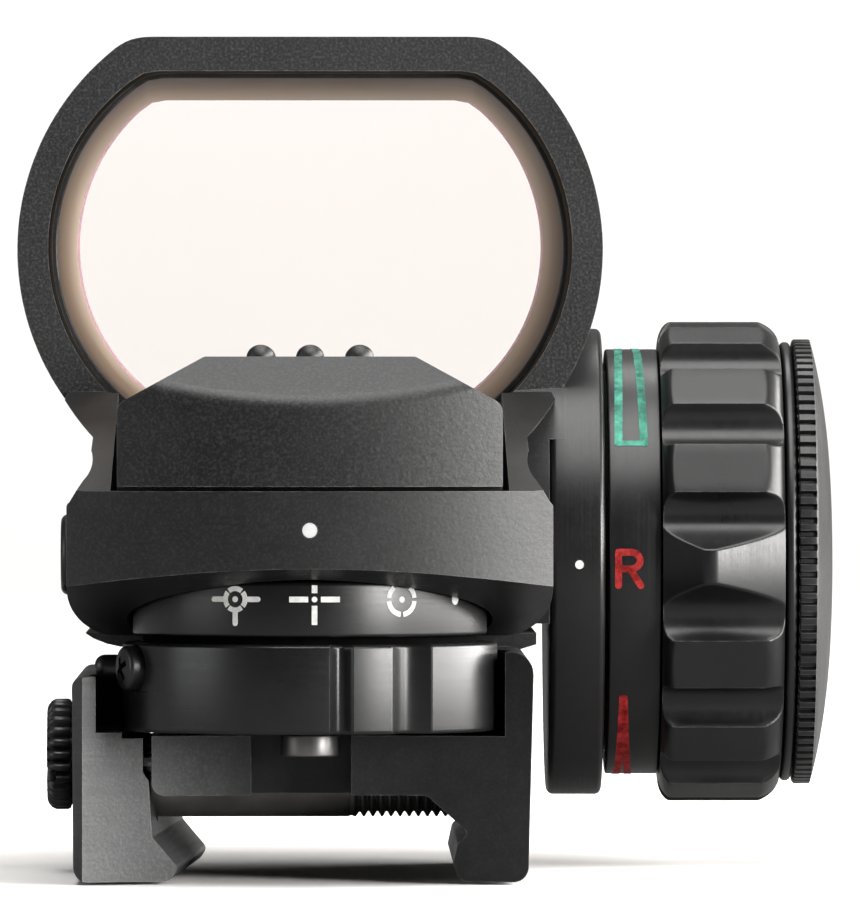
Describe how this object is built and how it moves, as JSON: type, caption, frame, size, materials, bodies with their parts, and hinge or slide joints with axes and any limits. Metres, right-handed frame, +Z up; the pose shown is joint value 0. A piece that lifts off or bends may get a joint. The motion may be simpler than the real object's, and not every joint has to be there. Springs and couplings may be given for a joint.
{
  "type": "red dot finder",
  "caption": "Open reflex red dot finder for a telescope: hooded lens, reticle selector dial, brightness knob with battery cap, and a dovetail rail clamp.",
  "frame": {"origin": "centre of the seat face that rests on the top of the dovetail rail", "axes": "+Z up, +Y forward along the viewing direction, +X to the viewer's right, towards the brightness knob"},
  "size_m": [0.0572, 0.0814, 0.0579],
  "materials": {
    "satin_black_alloy": "black anodised, satin",
    "blasted_black_alloy": "black anodised, sand-blasted",
    "black_screw": "black oxide",
    "steel": "bright",
    "bronze_bezel": "bronze anodised, satin",
    "coated_glass": "polished, coated",
    "black_rubber": "matt",
    "black_polymer": "matt",
    "board_green": "solder resist",
    "brass_contact": "bright",
    "emitter_red": "clear red epoxy"
  },
  "bodies": {
    "housing": {"main_housing": "satin_black_alloy", "lens_bezel": "bronze_bezel", "objective_lens": "coated_glass", "lens_gasket": "black_rubber", "rear_index_dot": "steel", "side_index_dot": "steel", "detent_ball": "steel", "contact_board": "board_green", "knob_post": "steel", "hub_nut": "steel", "track_outer": "brass_contact", "base_screw_1": "black_screw", "base_screw_2": "black_screw", "mount_base": "satin_black_alloy", "guide_pin_1": "steel", "guide_pin_2": "steel", "cross_rod": "steel"},
    "selector": {"reticle_dial": "satin_black_alloy", "selector_ring": "satin_black_alloy", "reticle_drum": "black_polymer", "dial_screw": "black_screw", "stop_screw": "black_screw", "stop_pin": "black_screw"},
    "knob": {"number_ring": "satin_black_alloy", "wiper": "brass_contact", "fluted_knob": "satin_black_alloy", "knob_carrier": "black_polymer", "knob_screw_1": "black_screw", "knob_screw_2": "black_screw", "knob_screw_3": "black_screw", "battery_cup": "black_polymer", "battery": "steel", "seat_disc": "satin_black_alloy"},
    "cap_lift_body": {"cap_seal": "black_rubber"},
    "cap": {"battery_cap": "satin_black_alloy", "cap_contact": "brass_contact"},
    "jaw": {"movable_jaw": "satin_black_alloy", "clamp_washer": "steel"},
    "clamp_screw": {"clamp_wheel": "black_screw"},
    "windage": {"windage_screw": "black_screw"},
    "carriage": {"emitter_carriage": "satin_black_alloy", "pitch_pin": "steel", "windage_spring": "steel", "elevation_spring": "steel"},
    "emitter": {"emitter_block": "blasted_black_alloy", "led_board": "board_green", "led_emitter": "emitter_red", "emitter_window": "coated_glass"},
    "elevation": {"elevation_screw": "black_screw"}
  },
  "joints": [
    {"name": "selector_turn", "type": "hinge", "parent": "housing", "child": "selector", "pos_m": [0, -0.0156, 0.0074], "axis": [0, 0, 1], "range_deg": [-54.5, 24.5]},
    {"name": "knob_turn", "type": "hinge", "parent": "housing", "child": "knob", "pos_m": [0.0289, 0.021, 0.0153], "axis": [1, 0, 0], "continuous": true},
    {"name": "cap_lift", "type": "slide", "parent": "knob", "child": "cap_lift_body", "axis": [1, 0, 0], "range_m": [0, 0.004]},
    {"name": "cap_turn", "type": "hinge", "parent": "cap_lift_body", "child": "cap", "pos_m": [0.035, 0.021, 0.0153], "axis": [1, 0, 0], "range_deg": [0, 1925]},
    {"name": "jaw_slide", "type": "slide", "parent": "housing", "child": "jaw", "axis": [-1, 0, 0], "range_m": [0, 0.0035]},
    {"name": "clamp_turn", "type": "hinge", "parent": "jaw", "child": "clamp_screw", "pos_m": [-0.017, 0.004, 0.0022], "axis": [-1, 0, 0], "range_deg": [0, 1580]},
    {"name": "carriage_yaw", "type": "hinge", "parent": "housing", "child": "carriage", "pos_m": [0, -0.0156, 0.0175], "axis": [0, 0, 1], "range_deg": [-0.8, 0.8], "deforming": ["windage_spring"]},
    {"name": "windage_turn", "type": "hinge", "parent": "housing", "child": "windage", "pos_m": [-0.016, -0.0015, 0.0161], "axis": [-1, 0, 0], "range_deg": [-250, 250]},
    {"name": "emitter_pitch", "type": "hinge", "parent": "carriage", "child": "emitter", "pos_m": [0, -0.023, 0.0183], "axis": [1, 0, 0], "range_deg": [-0.5, 0.5], "deforming": ["elevation_spring"]},
    {"name": "elevation_turn", "type": "hinge", "parent": "emitter", "child": "elevation", "pos_m": [0.0055, -0.004, 0.028], "axis": [0, 0, 1], "range_deg": [-180, 180]}
  ],
  "couplings": [
    {"joint": "cap_turn", "follows": "cap_lift", "rad_per_m": 8377.6},
    {"joint": "clamp_turn", "follows": "jaw_slide", "rad_per_m": 7854},
    {"joint": "windage_turn", "follows": "carriage_yaw", "ratio": 300},
    {"joint": "elevation_turn", "follows": "emitter_pitch", "ratio": 340}
  ]
}
